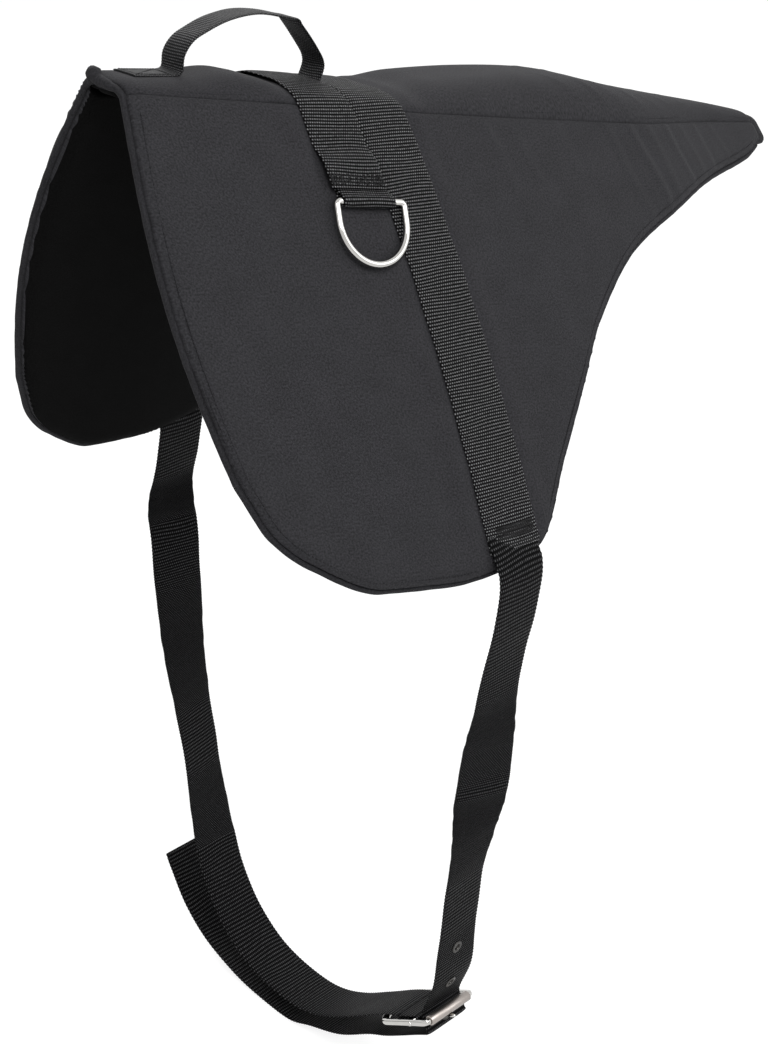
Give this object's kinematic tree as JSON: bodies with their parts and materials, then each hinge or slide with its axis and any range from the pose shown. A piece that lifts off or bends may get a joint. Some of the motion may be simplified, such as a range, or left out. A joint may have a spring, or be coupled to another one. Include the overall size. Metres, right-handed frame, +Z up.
{
  "type": "bareback pad",
  "caption": "Padded bareback riding pad with a crowned seat, shaped side flaps, crossing webs with D rings, a gullet handle and a buckled girth strap.",
  "frame": {"origin": "on the underside of the seat's padding, on the spine line, at the joint between the two crossing webs", "axes": "+X towards the horse's tail, +Z up, -Y towards the horse's near (left) side, where the buckle lies"},
  "size_m": [0.7887, 0.4624, 1.0422],
  "materials": {
    "cover": "woven polyester, matte",
    "foam": "soft foam",
    "webbing": "ribbed webbing, slight sheen",
    "nickel": "polished nickel plate",
    "roller": "satin"
  },
  "bodies": {
    "pad": {"seat_cover": "cover", "seat_foam": "foam", "seat_lining": "cover", "left_flap_cover": "cover", "left_flap_foam": "foam", "left_flap_lining": "cover", "right_flap_cover": "cover", "right_flap_foam": "foam", "right_flap_lining": "cover", "left_edge_roll": "cover", "right_edge_roll": "cover", "front_edge_roll": "cover", "tail_binding": "cover", "front_web": "webbing", "girth_web": "webbing", "left_ring_chape": "webbing", "right_ring_chape": "webbing", "handle_front_foot": "webbing", "handle_rear_foot": "webbing", "left_girth_root": "webbing", "right_girth_root": "webbing"},
    "handle": {"handle_grip": "webbing"},
    "left_ring": {"left_d_ring": "nickel"},
    "right_ring": {"right_d_ring": "nickel"},
    "girth": {"girth_billet": "webbing", "girth_strap": "webbing", "buckle_frame": "nickel", "eyelet_1": "nickel", "eyelet_2": "nickel", "eyelet_3": "nickel"},
    "roller": {"buckle_roller": "roller"},
    "tongue": {"buckle_tongue": "nickel"}
  },
  "joints": [
    {"name": "handle_lean", "type": "hinge", "parent": "pad", "child": "handle", "pos_m": [-0.12925, 0, 0.05821], "axis": [0.9735, 0, -0.2288], "range_deg": [-36, 24], "stiffness_Nm_per_rad": 0.1},
    {"name": "left_ring_swing", "type": "hinge", "parent": "pad", "child": "left_ring", "pos_m": [-0.01924, -0.08826, -0.0545], "axis": [-0.9679, 0.1261, 0.2175], "range_deg": [0, 120]},
    {"name": "right_ring_swing", "type": "hinge", "parent": "pad", "child": "right_ring", "pos_m": [-0.01924, 0.08826, -0.0545], "axis": [0.9679, 0.1261, -0.2175], "range_deg": [0, 120]},
    {"name": "girth_swing", "type": "hinge", "parent": "pad", "child": "girth", "pos_m": [0.025, 0, -0.3496], "axis": [0, 1, 0], "range_deg": [-25, 25]},
    {"name": "roller_spin", "type": "hinge", "parent": "girth", "child": "roller", "pos_m": [0.025, -0.14358, -0.83124], "axis": [1, 0, 0], "continuous": true},
    {"name": "tongue_pivot", "type": "hinge", "parent": "girth", "child": "tongue", "pos_m": [0.025, -0.12558, -0.84206], "axis": [1, 0, 0], "range_deg": [0, 4]}
  ]
}
